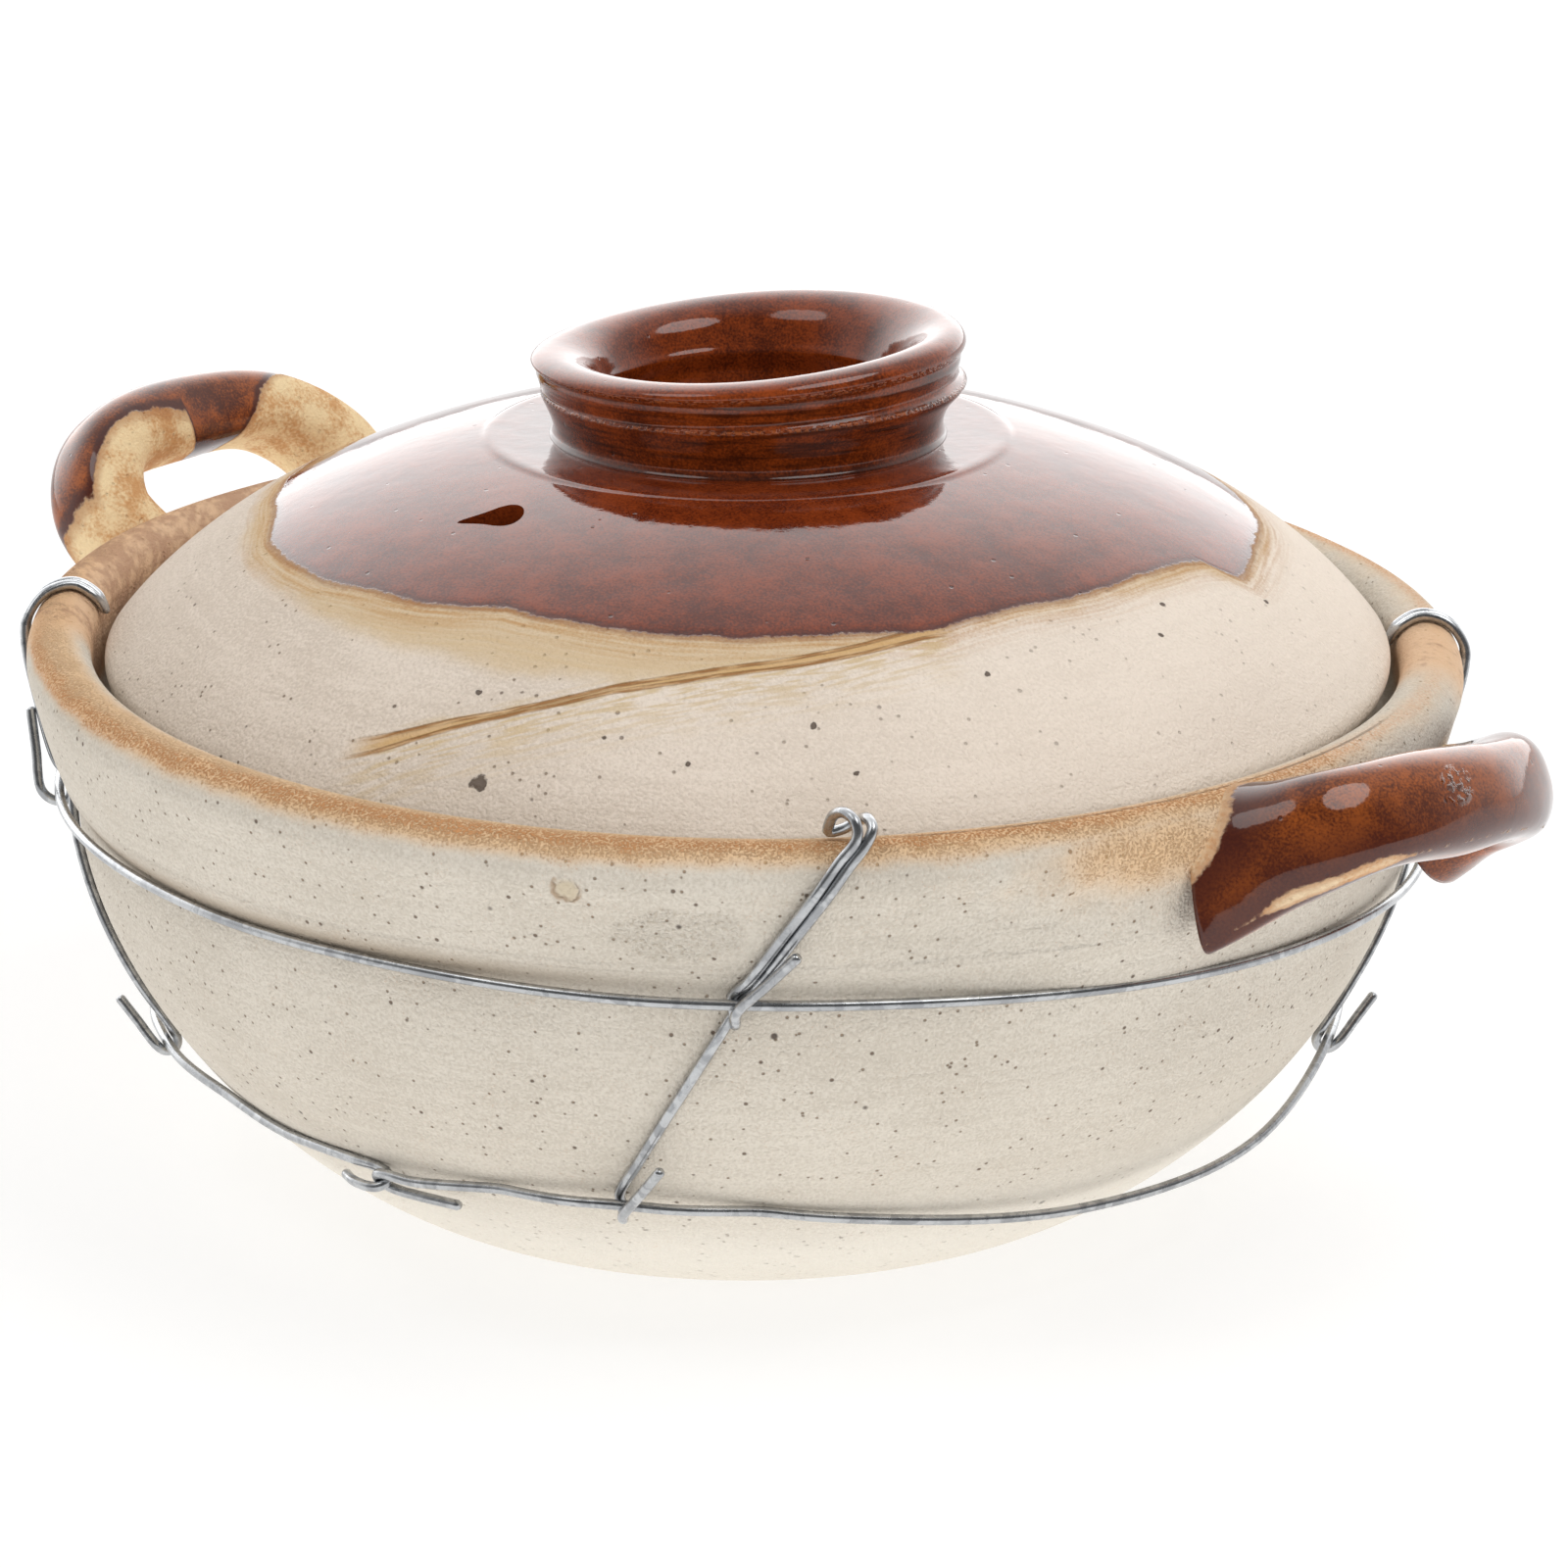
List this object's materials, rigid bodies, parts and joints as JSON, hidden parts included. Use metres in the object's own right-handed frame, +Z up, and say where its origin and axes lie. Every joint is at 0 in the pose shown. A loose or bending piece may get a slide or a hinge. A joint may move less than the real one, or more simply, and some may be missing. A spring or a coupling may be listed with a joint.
{
  "type": "clay casserole",
  "caption": "Round clay casserole bound with a wire harness, with loop handles and a domed lift-off lid that has a hollow ring knob, for slow cooking on a stove.",
  "frame": {"origin": "centre of the flat foot, on the surface the pot stands on", "axes": "+Z up through the knob, +X towards the right handle, +Y to the back"},
  "size_m": [0.2723, 0.2308, 0.1375],
  "materials": {
    "bare_clay": "unglazed cream stoneware, matt and slightly gritty, toasted orange at the lip",
    "brown_glaze": "glossy amber-brown glaze, mottled, thin and purplish at the edges",
    "zinc_wire": "galvanised steel wire, dull grey with fine drawing scratches"
  },
  "bodies": {
    "pot": {"pot_body": "bare_clay", "handle_right": "brown_glaze", "handle_left": "brown_glaze", "upper_ring": "zinc_wire", "lower_ring": "zinc_wire", "strut_front": "zinc_wire", "strut_right": "zinc_wire", "strut_back": "zinc_wire", "strut_left": "zinc_wire"},
    "lid": {"lid": "bare_clay", "lid_knob": "brown_glaze"}
  },
  "joints": [
    {"name": "lid_lift", "type": "slide", "parent": "pot", "child": "lid", "axis": [0, 0, 1], "range_m": [0, 0.12]}
  ]
}
